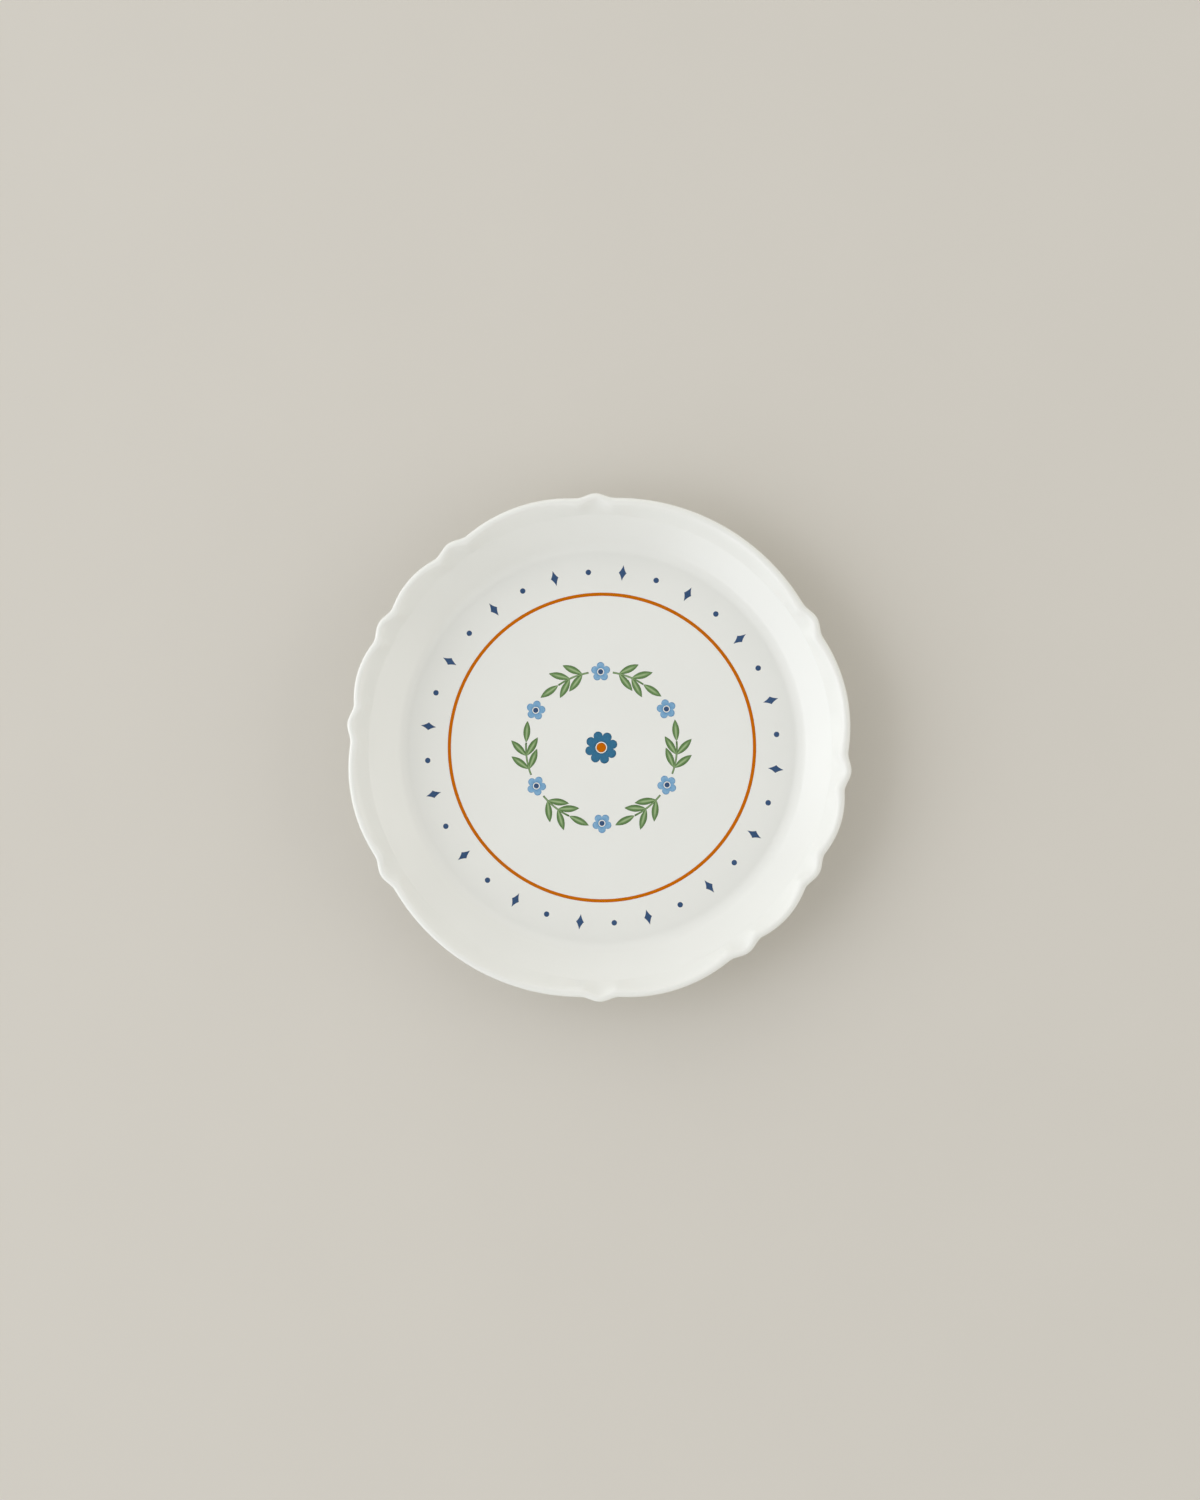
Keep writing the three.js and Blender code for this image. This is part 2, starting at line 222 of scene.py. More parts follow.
class TransferSizes(bpy.types.PropertyGroup):
    """Sizes of the enamel films on the floor of the well."""

    film: length("Film", "Thickness of the fired enamel", 0.06 * MM)
    band_radius: length("Band radius", "Outer edge of the plain line", BAND_HIGH.x)
    band_width: length("Band width", "Width of the plain line", 1.1 * MM)
    border_radius: length("Border radius", "From the axis to the border motifs", BORDER_RADIUS)
    lozenge_length: length("Lozenge length", "Along a spoke", LOZENGE_HIGH.x - LOZENGE_LOW.x)
    lozenge_width: length("Lozenge width", "Across a spoke", LOZENGE_HIGH.y - LOZENGE_LOW.y)
    lozenge_waist: portion("Lozenge waist", "Bow of the sides: 0 is a cross", 0.36, 0.5)
    dot_diameter: length("Dot diameter", "Dot between two lozenges", 1.8 * MM)
    wreath_radius: length("Wreath radius", "From the axis to the blossoms", WREATH_RADIUS)
    blossom_radius: length("Blossom radius", "From the middle to a petal's tip", 3.2 * MM)
    blossom_notch: length("Blossom notch", "From the middle to between two petals", 2.1 * MM)
    blossom_eye: length("Blossom eye", "Diameter of the eye", EYE_HIGH.x - EYE_LOW.x)
    stem_width: length("Stem width", "Width of a sprig's stem", 0.6 * MM)
    stem_film: portion("Stem film", "A stem's share of the film's thickness", 0.8)
    stem_gap: length("Stem gap", "Bare floor between a blossom and a sprig", 0.8 * MM)
    leaf_length: length("Leaf length", "From the stem to the tip", 7.2 * MM)
    leaf_width: length("Leaf width", "Across the middle of a leaf", 2.3 * MM)
    leaf_spread: angle("Leaf spread", "Between a side leaf and the stem", 38)
    leaf_spacing: length("Leaf spacing", "Along the stem", 4.4 * MM)
    rosette_radius: length("Rosette radius", "From the middle to a petal's tip", 5.4 * MM)
    rosette_notch: length("Rosette notch", "From the middle to between two petals", 3.9 * MM)
    rosette_eye: length("Rosette eye", "Diameter of the eye", 3.2 * MM)
    eye_gap: length("Eye gap", "Bare ring round the eye of a flower", 0.3 * MM)
    blossom_petals: IntProperty(name="Blossom petals", description="Petals of a blossom", default=5)
    rosette_petals: IntProperty(name="Rosette petals", description="Petals of the rosette", default=8)


class FinishColours(bpy.types.PropertyGroup):
    """Colours of the fired surfaces and of the stage floor."""

    porcelain: colour("Porcelain", "Clear glaze over white clay", 0xF0F1ED)
    porcelain_shade: colour("Porcelain shade", "The glaze where it lies thicker", 0xECEDE9)
    bare_clay: colour("Bare clay", "Foot face wiped free of glaze", 0xE6DFD0)
    bare_clay_grit: colour("Bare clay grit", "Darker grains in the bare clay", 0xCFC5B2)
    brown: colour("Brown enamel", "Line and centre", 0xCC6C00)
    brown_dark: colour("Brown enamel, thick", "The same where it pooled", 0xB85E00)
    green: colour("Green enamel", "Leaves and stems", 0x6D8E5B)
    green_dark: colour("Green enamel, thick", "The same where it pooled", 0x587746)
    green_rib: colour("Leaf rib", "Thin enamel along the middle of a leaf", 0xA0B88A)
    sky: colour("Sky blue enamel", "Petals of the blossoms", 0x93BBD9)
    sky_dark: colour("Sky blue enamel, thick", "The same near the eye", 0x6495C0)
    cobalt: colour("Cobalt enamel", "Petals of the rosette", 0x3D7699)
    cobalt_dark: colour("Cobalt enamel, thick", "The same where it pooled", 0x2E6182)
    slate: colour("Slate blue enamel", "Border and eyes", 0x425C82)
    slate_dark: colour("Slate blue enamel, thick", "The same where it pooled", 0x304A6F)
    floor: colour("Stage floor", "Plain pale floor under the plate", 0xD6D2CA)


class StageSettings(bpy.types.PropertyGroup):
    """Camera, light and floor. Turns are taken from the right of the picture."""

    picture_right: angle("Picture right", "Turn from +X to the right of the picture", 29.5)
    camera_distance: length("Camera distance", "From the point aimed at", 1.1)
    camera_lean: angle("Camera lean", "Lean to the right of the picture from straight above", 5.5)
    aim_right: length("Aim right", "From the rim's middle to the point aimed at", 0.9 * MM)
    aim_down: length("Aim down", "The same towards the foot of the picture", 0.81 * MM)
    lens: amount("Lens", "Focal length in millimetres", 81.5)
    window_turn: angle("Window turn", "Where the window stands", 180)
    window_distance: length("Window distance", "From the plate to the window", 1.6)
    window_width: length("Window width", "Across the window", 3.2)
    window_sill: length("Window sill", "Height of the window's lower edge", 0.6)
    window_top: length("Window top", "Height of the window's upper edge", 2.8)
    window_power: watts("Window power", "Light of the window", 34.5)
    panel_distance: length("Panel distance", "From the plate to each low panel of light", 6)
    panel_width: length("Panel width", "Across the side and fill panels", 12)
    panel_top: length("Panel top", "Upper edge of the side and fill panels", 5.025)
    panel_core: portion("Panel core", "Share of a light's width at full strength", 0.3)
    screen_turn: angle("Screen turn", "Where the low panel near the window stands", 201)
    screen_width: length("Screen width", "Across that panel", 15)
    screen_top: length("Screen top", "Upper edge of that panel", 2.625)
    screen_power: watts("Screen power", "Light of that panel", 132)
    side_turn: angle("Side turn", "Where the low panel beside the window stands", 120)
    side_power: watts("Side power", "Light of that panel", 132)
    fill_turn: angle("Fill turn", "Where the low panel across from the window stands", 0)
    fill_foot: length("Fill foot", "Lower edge of that panel", 0.825)
    fill_power: watts("Fill power", "Light of that panel", 138)
    room_light: amount("Room light", "Strength of the even light", 0.72)
    overhead_reach: angle("Overhead reach", "From straight up to the edge of the dim zone", 24)
    overhead_blur: angle("Overhead blur", "Width of that edge", 10)
    overhead_share: portion("Overhead share", "Light left in the dim zone", 0.15)
    daylight: colour("Daylight", "Cool light of the window and the screen", 0xF3F7FF)
    room_tone: colour("Room tone", "Warm light of the room and of the other panels", 0xFFFDF8)
    floor_width: length("Floor width", "Side of the square floor", 16)


def add(tree, kind, inputs=None, **settings):
    """Add a node, set its properties, and set its inputs or link them to other nodes."""
    node = tree.nodes.new(kind)
    for name, value in settings.items():
        setattr(node, name, value)
    for key, value in (inputs or {}).items():
        if isinstance(value, bpy.types.Node):
            value = value.outputs[0]
        if isinstance(value, bpy.types.NodeSocket):
            tree.links.new(value, node.inputs[key])
        else:
            node.inputs[key].default_value = value
    return node


def reckon(tree, operation, *values, clamp=False):
    """The result of a math node on one to three numbers, sockets or nodes."""
    inputs = dict(enumerate(values))
    return add(tree, "ShaderNodeMath", inputs, operation=operation, use_clamp=clamp).outputs[0]


def ramp(tree, value, start, end, at_start, at_end, **settings):
    """A number that runs from one to another while a value crosses a range."""
    inputs = {0: value, 1: start, 2: end, 3: at_start, 4: at_end}
    return add(tree, "ShaderNodeMapRange", inputs, **settings).outputs[0]


def part(tree, vector, letter):
    """One coordinate of a vector."""
    return add(tree, "ShaderNodeSeparateXYZ", {0: vector}).outputs[letter]


def off_middle(tree, place):
    """How far a place between 0 and 1 is from the middle."""
    return reckon(tree, "ABSOLUTE", reckon(tree, "SUBTRACT", place, 0.5))


def new_tree(name, values):
    """A Geometry Nodes tree that is given a shape and named values, and the sockets at its two ends."""
    kinds = {int: "Int", float: "Float", bpy.types.Material: "Material"}
    tree = bpy.data.node_groups.new(name, "GeometryNodeTree")
    tree.interface.new_socket("Geometry", in_out="OUTPUT", socket_type="NodeSocketGeometry")
    tree.interface.new_socket("Shape", in_out="INPUT", socket_type="NodeSocketGeometry")
    for label, value in values.items():
        kind = f"NodeSocket{kinds[type(value)]}"
        tree.interface.new_socket(label, in_out="INPUT", socket_type=kind)
    given = add(tree, "NodeGroupInput").outputs
    return tree, given, add(tree, "NodeGroupOutput").inputs[0]


def grow(piece, make_tree, values):
    """Run a tree on a piece with named values, and keep the result as its plain mesh.

    The tree is made on first use, and has the name of the function that makes it.
    """
    tree = bpy.data.node_groups.get(make_tree.__name__) or make_tree(values)
    modifier = piece.modifiers.new(tree.name, "NODES")
    modifier.node_group = tree
    for item in tree.interface.items_tree:
        if item.in_out == "INPUT" and item.name in values:
            modifier[item.identifier] = values[item.name]
    depsgraph = bpy.context.evaluated_depsgraph_get()
    grown = bpy.data.meshes.new_from_object(piece.evaluated_get(depsgraph))
    drawn = piece.data
    piece.modifiers.clear()
    # A shape drawn without a finish can leave an empty slot before its finishes
    if grown.materials[0] is None:
        grown.materials.pop(index=0)
    piece.data = grown
    bpy.data.meshes.remove(drawn)
    grown.name = piece.name


def new_piece(name, data):
    """An object at the origin that holds a mesh, a light or a camera."""
    piece = bpy.data.objects.new(name, data)
    bpy.context.scene.collection.objects.link(piece)
    return piece


def settle(piece, nodes):
    """Let a finished piece stand for its nodes on the plate's one body."""
    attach(piece, "root")
    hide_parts(*nodes)


# Finishes


def new_finish(name, constants):
    """A material and its tree, with constants set on its shader."""
    material = bpy.data.materials.new(name)
    material.use_nodes = True
    shader = material.node_tree.nodes["Principled BSDF"]
    for label, value in constants.items():
        shader.inputs[label].default_value = value
    return material, material.node_tree


def noise(tree, size, detail):
    """Soft noise in the object's own space, with blots of about one size."""
    place = add(tree, "ShaderNodeTexCoord").outputs["Object"]
    inputs = {"Vector": place, "Scale": 1 / size, "Detail": detail}
    return add(tree, "ShaderNodeTexNoise", inputs).outputs[0]


def blend(tree, factor, first, second):
    """A colour between two, each given as red, green and blue or as the output of a node."""
    ends = [end if isinstance(end, bpy.types.NodeSocket) else (*end, 1) for end in (first, second)]
    inputs = {"Factor": factor, 6: ends[0], 7: ends[1]}
    return add(tree, "ShaderNodeMix", inputs, data_type="RGBA").outputs[2]


def paint(tree, tone):
    """Give the shader of a tree its colour."""
    tree.links.new(tone, tree.nodes["Principled BSDF"].inputs["Base Color"])


def emboss(tree, height, strength, depth):
    """Give the shader of a tree a relief too low to model."""
    relief = add(tree, "ShaderNodeBump", {"Height": height, "Strength": strength, "Distance": depth})
    tree.links.new(relief.outputs[0], tree.nodes["Principled BSDF"].inputs["Normal"])


def glazed_porcelain(colours):
    """Hard white porcelain under a clear glaze, poured and fired to a gloss.

    The eye gets a bright white that is a little deeper where the glaze is thicker, and sharp
    reflections that waver slightly, because a glaze never sets quite flat.
    """
    material, tree = new_finish("glazed_porcelain", {"Roughness": 0.09, "IOR": 1.52})
    cloud = noise(tree, size=22 * MM, detail=2)
    paint(tree, blend(tree, cloud, colours.porcelain, colours.porcelain_shade))
    ripple = noise(tree, size=7 * MM, detail=1)
    emboss(tree, ripple, strength=0.5, depth=0.012 * MM)
    return material


def bare_porcelain_clay(colours):
    """Unglazed porcelain on the foot face, wiped before firing.

    The eye gets a dry, slightly warmer ring with a fine grit.
    """
    material, tree = new_finish("bare_porcelain_clay", {"Roughness": 0.85})
    grit = noise(tree, size=0.5 * MM, detail=3)
    paint(tree, blend(tree, grit, colours.bare_clay, colours.bare_clay_grit))
    emboss(tree, grit, strength=0.6, depth=0.05 * MM)
    return material


def fired_enamel(name, full, pooled):
    """Ground glass colour printed on the glaze and fired until it sinks in.

    The eye gets a satin sheen that leaves the colour deep, a tone that drifts from copy to copy, a
    faint grain from the screen it was printed through, and a darker edge where the colour pooled.
    Returns the material, its tree and the output that holds its colour.
    """
    material, tree = new_finish(name, {"Roughness": 0.22, "Specular IOR Level": 0.12})
    # The real grain is finer than the picture can show, so it is drawn at half a millimetre
    grain = noise(tree, size=0.5 * MM, detail=2)
    speck = ramp(tree, grain, *SPECK_RANGE, 0, SPECK_DEPTH)
    drift = add(tree, "ShaderNodeAttribute", attribute_name="tone").outputs["Fac"]
    inside = add(tree, "ShaderNodeAttribute", attribute_name="inside").outputs["Fac"]
    edge = ramp(tree, inside, POOL_THICKNESS, 1, POOL_DEPTH, 0)
    shift = reckon(tree, "MULTIPLY_ADD", drift, DRIFT_DEPTH, speck)
    depth = reckon(tree, "ADD", shift, edge, clamp=True)
    tone = blend(tree, depth, full, pooled)
    paint(tree, tone)
    return material, tree, tone


def fired_brown_enamel(colours):
    """Iron brown for the line and the rosette's eye."""
    return fired_enamel("fired_brown_enamel", colours.brown, colours.brown_dark)[0]


def fired_cobalt_enamel(colours):
    """Deep cobalt for the rosette's petals."""
    return fired_enamel("fired_cobalt_enamel", colours.cobalt, colours.cobalt_dark)[0]


def fired_slate_enamel(colours):
    """Greyed cobalt for the border and the blossoms' eyes."""
    return fired_enamel("fired_slate_enamel", colours.slate, colours.slate_dark)[0]


def fired_leaf_enamel(colours):
    """Chrome green, printed thin along the middle of each leaf so that a pale rib shows."""
    material, tree, tone = fired_enamel("fired_leaf_enamel", colours.green, colours.green_dark)
    film = add(tree, "ShaderNodeUVMap", uv_map="film")
    line = ramp(tree, off_middle(tree, part(tree, film, "Y")), *RIB_ASIDE, RIB_STRENGTH, 0)
    stop = ramp(tree, part(tree, film, "X"), *RIB_END, 1, 0)
    rib = reckon(tree, "MULTIPLY", line, stop)
    paint(tree, blend(tree, rib, tone, colours.green_rib))
    return material


def fired_petal_enamel(colours):
    """Pale cobalt petals that deepen towards the eye of the flower."""
    material, tree, tone = fired_enamel("fired_petal_enamel", colours.sky, colours.sky_dark)
    film = add(tree, "ShaderNodeUVMap", uv_map="film")
    heart = ramp(tree, part(tree, film, "Y"), *HEART_RANGE, HEART_STRENGTH, 0)
    paint(tree, blend(tree, heart, tone, colours.sky_dark))
    return material


def matt_painted_board(colours):
    """Matt painted board under the plate.

    The eye gets a plain pale floor without a sheen, whose tone hardly varies.
    """
    constants = {"Roughness": 0.8, "Specular IOR Level": 0.2}
    material, tree = new_finish("matt_painted_board", constants)
    brush = noise(tree, size=60 * MM, detail=4)
    stroke = [BRUSH_SHADE * channel for channel in colours.floor]
    paint(tree, blend(tree, brush, colours.floor, stroke))
    return material


# The porcelain body


def rounded(corners):
    """Points along straight lines whose corners, given as radius, height and bend, are rounded."""
    points = [Vector(corners[0][:2])]
    for before, corner, after in zip(corners, corners[1:], corners[2:]):
        here = Vector(corner[:2])
        bend = corner[2]
        back = (Vector(before[:2]) - here).normalized()
        onward = (Vector(after[:2]) - here).normalized()
        half = back.angle(onward) / 2
        turn = math.pi - 2 * half
        centre = here + (back + onward).normalized() * (bend / math.sin(half))
        spoke = here + back * (bend / math.tan(half)) - centre
        if back.x * onward.y > back.y * onward.x:
            turn = -turn
        steps = math.ceil(abs(turn) * bend / ARC_STEP)
        steps = max(ARC_STEPS_LEAST, min(ARC_STEPS_MOST, steps))
        for step in range(steps + 1):
            points.append(centre + Matrix.Rotation(turn * step / steps, 2) @ spoke)
    points.append(Vector(corners[-1][:2]))
    return points


def subdivided(points, floor_radius):
    """The same points, with the floor cut into a few rings and other long stretches into short ones."""
    fine = [points[0]]
    for start, end in zip(points, points[1:]):
        reach = (end - start).length
        inside_floor = min(start.x, end.x) < floor_radius / 2
        pieces = FLOOR_RINGS if inside_floor else max(1, math.ceil(reach / STRAIGHT_STEP))
        fine.extend(start.lerp(end, step / pieces) for step in range(1, pieces + 1))
    return fine


def share_between(value, start, end):
    """How far a value has come from a start, 0, to an end, 1."""
    return min(1, max(0, (value - start) / (end - start)))


def tangent_corner(centre, radius, first, second):
    """Where two lines meet that touch a circle in two directions from its centre."""
    return centre + (first + second) * (radius / (1 + first.dot(second)))


def body_section(sizes):
    """Points of the section and how far each is drawn in at the valleys of the edge.

    The section runs from the middle of the floor up the wall, over the lip's edge and back to the
    middle of the base. The rim's radius rules, and the floor is what the wall and the lip leave of it.
    """
    slope = Vector((math.cos(sizes.wall_angle), math.sin(sizes.wall_angle)))
    lip_angle = sizes.wall_angle + sizes.lip_upturn
    flare = Vector((math.cos(lip_angle), math.sin(lip_angle)))
    rise = flare.orthogonal()
    bend = sizes.lip_upturn / 2

    # Corner points of the face, from the edge of the floor
    well_reach = sizes.well_fillet * math.tan(sizes.wall_angle / 2)
    shoulder_reach = sizes.shoulder_bend * math.tan(bend)
    well = Vector((well_reach, sizes.floor_top))
    shoulder = well + slope * (well_reach + sizes.wall_length + shoulder_reach)
    lip_end = shoulder + flare * (shoulder_reach + sizes.lip_length)

    # The edge is a circle that the face and the back of the lip run into
    edge_radius = sizes.lip_thickness / 2
    edge_middle = lip_end - rise * edge_radius
    edge_top = tangent_corner(edge_middle, edge_radius, rise, flare)

    # The back runs parallel to the face of the wall, and nears the face of the lip
    halfway = Vector((math.sin(lip_angle - bend), -math.cos(lip_angle - bend)))
    back_shoulder = shoulder + halfway * (sizes.wall_thickness / math.cos(bend))
    reach = edge_middle - back_shoulder
    lip_back = Matrix.Rotation(-math.asin(edge_radius / reach.length), 2) @ reach.normalized()
    edge_back = tangent_corner(edge_middle, edge_radius, flare, -lip_back.orthogonal())
    base_height = sizes.floor_top - sizes.floor_thickness
    drop = (back_shoulder.y - base_height) / slope.y
    base_edge = back_shoulder - slope * drop

    # The floor's edge, the foot ring's middle, and half of its face and of its root
    floor_edge = sizes.rim_radius - edge_middle.x - edge_radius
    ring = floor_edge - sizes.foot_inset
    half_face = sizes.foot_width / 2 + sizes.foot_round / 2
    half_root = half_face + sizes.foot_round / 2 + sizes.foot_flare

    def placed(point, round_off):
        return (point.x + floor_edge, point.y, round_off)

    edge_bend = EDGE_BEND_SHARE * edge_radius
    corners = [
        (0, sizes.floor_top),
        placed(well, sizes.well_fillet),
        placed(shoulder, sizes.shoulder_bend),
        placed(edge_top, edge_bend),
        placed(edge_back, edge_bend),
        placed(back_shoulder, sizes.back_bend),
        placed(base_edge, sizes.base_bend),
        (ring + half_root, base_height, sizes.foot_bend),
        (ring + half_face, 0, sizes.foot_round),
        (ring - half_face, 0, sizes.foot_round),
        (ring - half_root, base_height, sizes.foot_bend),
        (0, base_height),
    ]
    points = subdivided(rounded(corners), floor_edge)

    # At the valleys the edge is drawn in, the face below it further, and the shoulder not at all
    outermost = max(range(len(points)), key=lambda number: points[number].x)
    swings = []
    for number, point in enumerate(points):
        radius = point.x - floor_edge
        if number > outermost:
            swing = sizes.scallop_depth * share_between(radius, back_shoulder.x, edge_middle.x)
        elif radius < lip_end.x:
            swing = sizes.crease_depth * share_between(radius, shoulder.x, lip_end.x)
        else:
            over = share_between(radius, lip_end.x, edge_middle.x)
            swing = sizes.crease_depth + over * (sizes.scallop_depth - sizes.crease_depth)
        swings.append(swing)
    return points, swings


def section_mesh(points, swings):
    """The section as a line of vertices in the XZ plane that carry their swing."""
    mesh = bpy.data.meshes.new("section")
    links = [(number, number + 1) for number in range(len(points) - 1)]
    mesh.from_pydata([(point.x, 0, point.y) for point in points], links, [])
    mesh.attributes.new("swing", "FLOAT", "POINT").data.foreach_set("value", swings)
    return mesh


def scallop_draw(tree, given, sine, cosine):
    """How far the edge is drawn in, from 0 at a crest to 1 at a valley.

    The edge repeats in every quarter turn, mirrored, so its angle is folded into one quarter. Two
    nubs part that quarter into a short, a middle and half a long scallop. Round a nub the edge
    follows a cosine, along a scallop a parabola, and a smooth minimum eases the valley between.
    """
    sums = partial(reckon, tree)
    short = given["Short Scallop"]
    middle = given["Middle Scallop"]
    nub_half = given["Nub Half"]

    # Fold the turn into a quarter and find the scallop that it falls in
    up = sums("ABSOLUTE", sine)
    across = sums("ABSOLUTE", cosine)
    quarter = sums("ARCTAN2", up, across)
    second_nub = sums("ADD", short, middle)
    past_first = sums("GREATER_THAN", quarter, short)
    past_second = sums("GREATER_THAN", quarter, second_nub)
    begin = sums("MULTIPLY", past_first, short)
    begin = sums("MULTIPLY_ADD", past_second, middle, begin)
    wider = sums("SUBTRACT", middle, short)
    widest = sums("SUBTRACT", given["Long Scallop"], middle)
    span = sums("MULTIPLY_ADD", past_first, wider, short)
    span = sums("MULTIPLY_ADD", past_second, widest, span)

    # Distance from the scallop's middle and from the nearest nub
    half_span = sums("MULTIPLY", span, 0.5)
    into = sums("SUBTRACT", quarter, begin)
    aside = sums("ABSOLUTE", sums("SUBTRACT", into, half_span))
    from_nub = sums("SUBTRACT", half_span, aside)

    # Nub and scallop, and the eased lesser of the two
    nub = sums("DIVIDE", from_nub, nub_half, clamp=True)
    nub = sums("SINE", sums("MULTIPLY", nub, math.pi / 2))
    nub = sums("POWER", nub, 2)
    half_scallop = sums("SUBTRACT", half_span, nub_half)
    scallop = sums("POWER", sums("DIVIDE", aside, half_scallop), 2)
    return sums("SMOOTH_MIN", nub, scallop, given["Valley Ease"])


def scalloped_sweep(values):
    """A tree that sweeps a section round Z and draws it in between the scallops of its edge."""
    tree, given, result = new_tree("scalloped_sweep", values)
    sums = partial(reckon, tree)
    shape = given["Shape"]
    # Each node that uses the position takes that of the shape it works on
    position = add(tree, "GeometryNodeInputPosition")

    # A grid with the section along X and the turn along Y
    size = add(tree, "GeometryNodeAttributeDomainSize", {"Geometry": shape})
    rows = size.outputs["Point Count"]
    columns = sums("ADD", given["Steps Round"], 1)
    sides = {"Size X": 1, "Size Y": 1, "Vertices X": rows, "Vertices Y": columns}
    grid = add(tree, "GeometryNodeMeshGrid", sides)
    along = sums("ADD", part(tree, position, "X"), 0.5)
    last = sums("SUBTRACT", rows, 1)
    row = sums("ROUND", sums("MULTIPLY", along, last))
    turn = sums("MULTIPLY", part(tree, position, "Y"), FULL_TURN)
    cosine = sums("COSINE", turn)
    sine = sums("SINE", turn)

    # The section's own point and swing for each row
    wanted = {"Geometry": shape, "Value": position, "Index": row}
    point = add(tree, "GeometryNodeSampleIndex", wanted, data_type="FLOAT_VECTOR")
    named = add(tree, "GeometryNodeInputNamedAttribute", {"Name": "swing"})
    wanted = {"Geometry": shape, "Value": named, "Index": row}
    swing = add(tree, "GeometryNodeSampleIndex", wanted)

    # Place each point, close the seam and the poles, and leave the foot's face bare
    drawn_in = sums("MULTIPLY", scallop_draw(tree, given, sine, cosine), swing)
    radius = sums("SUBTRACT", part(tree, point, "X"), drawn_in)
    x = sums("MULTIPLY", radius, cosine)
    y = sums("MULTIPLY", radius, sine)
    place = add(tree, "ShaderNodeCombineXYZ", {"X": x, "Y": y, "Z": part(tree, point, "Z")})
    swept = add(tree, "GeometryNodeSetPosition", {"Geometry": grid, "Position": place})
    closed = add(tree, "GeometryNodeMergeByDistance", {"Geometry": swept, "Distance": SAME_POINT})
    smooth = add(tree, "GeometryNodeSetShadeSmooth", {0: closed})
    real = add(tree, "GeometryNodeRealizeInstances", {"Geometry": smooth})
    glazed = add(tree, "GeometryNodeSetMaterial", {"Geometry": real, "Material": given["Glaze"]})
    low = sums("LESS_THAN", part(tree, position, "Z"), given["Bare Height"])
    wiping = {"Geometry": glazed, "Selection": low, "Material": given["Bare Clay"]}
    wiped = add(tree, "GeometryNodeSetMaterial", wiping)
    tree.links.new(wiped.outputs[0], result)
    return tree


class CAKEPLATE_OT_body(bpy.types.Operator):
    """Build the porcelain body with its scalloped lip and foot ring"""

    bl_idname = "cake_plate.body"
    bl_label = "Porcelain body"

    def execute(self, context):
        sizes = context.scene.plate_body
        colours = context.scene.plate_colours
        piece = new_piece("porcelain_body", section_mesh(*body_section(sizes)))
        values = {
            "Steps Round": STEPS_ROUND,
            "Short Scallop": sizes.short_scallop,
            "Middle Scallop": sizes.middle_scallop,
            "Long Scallop": sizes.long_scallop,
            "Nub Half": sizes.nub_width / 2 / sizes.rim_radius,
            "Valley Ease": sizes.valley_ease,
            "Bare Height": sizes.bare_height,
            "Glaze": glazed_porcelain(colours),
            "Bare Clay": bare_porcelain_clay(colours),
        }
        grow(piece, scalloped_sweep, values)
        settle(piece, ["plate_body"])
        return {"FINISHED"}


# Enamel films


def add_film(bm, rows, film, closed):
    """Add a thin closed film over rows of floor points, each a place and its share of thickness."""
    uv_layer = bm.loops.layers.uv.get("film") or bm.loops.layers.uv.new("film")
    inside = bm.verts.layers.float.get("inside") or bm.verts.layers.float.new("inside")
    columns = len(rows[0])
    last = columns if closed else columns - 1
    for thickness in (film, 0):
        grid = []
        for row in rows:
            line = []
            for x, y, share in row:
                vert = bm.verts.new((x, y, FLOOR_TOP + share * thickness))
                vert[inside] = share
                line.append(vert)
            grid.append(line)
        for row in range(len(rows) - 1):
            for column in range(last):
                here = [(row, column), (row + 1, column), (row + 1, column + 1), (row, column + 1)]
                if thickness == 0:
                    here.reverse()
                face = bm.faces.new([grid[r][c % columns] for r, c in here])
                face.smooth = True
                for loop, (r, c) in zip(face.loops, here):
                    loop[uv_layer].uv = (c / last, r / (len(rows) - 1))


def film_mesh(name, patches, film):
    """A mesh of several films, each given as its rows and whether its rows close on themselves."""
    bm = bmesh.new()
    for rows, closed in patches:
        add_film(bm, rows, film, closed)
    bmesh.ops.remove_doubles(bm, verts=bm.verts, dist=SAME_POINT)
    bmesh.ops.dissolve_degenerate(bm, edges=bm.edges, dist=SAME_POINT)
    bmesh.ops.recalc_face_normals(bm, faces=bm.faces)
    mesh = bpy.data.meshes.new(name)
    bm.to_mesh(mesh)
    bm.free()
    return mesh


def ring_patch(inner, outer, centre_x, steps):
    """A ring from a round inner edge to an outer one, whose radius depends on the angle."""
    turns = [FULL_TURN * step / steps for step in range(steps)]
    rows = []
    for place, share in FILM_ROWS:
        radii = [inner + place * (outer(turn) - inner) for turn in turns]
        spots = zip(radii, turns)
        rows.append([(centre_x + r * math.cos(t), r * math.sin(t), share) for r, t in spots])
    return rows, True


def disc_patch(outline, centre_x, steps):
    """A patch whose outline is seen whole from its middle."""
    points = [outline(step / steps) for step in range(steps)]
    rows = []
    for place, share in DISC_ROWS:
        rows.append([(centre_x + place * x, place * y, share) for x, y in points])
    return rows, True


def strip_patch(spot, steps, fullness):
    """A strip that thins out at both ends, whose points depend on the way along and across it."""
    rows = []
    for place, share in FILM_ROWS:
        spots = [spot(step / steps, place) for step in range(steps + 1)]
        row = [(x, y, fullness * share) for x, y in spots[1:-1]]
        rows.append([(*spots[0], 0), *row, (*spots[-1], 0)])
    return rows, False


def petal_edge(petals, radius, notch):
    """Radius of a flower's edge at an angle: each petal is an arc through its tip and its notches."""
    half = math.pi / petals
    centre = (radius**2 - notch**2) / (2 * (radius - notch * math.cos(half)))
    arc = radius - centre

    def edge(turn):
        off = (turn + half) % (2 * half) - half
        return centre * math.cos(off) + math.sqrt(arc**2 - (centre * math.sin(off)) ** 2)

    return edge


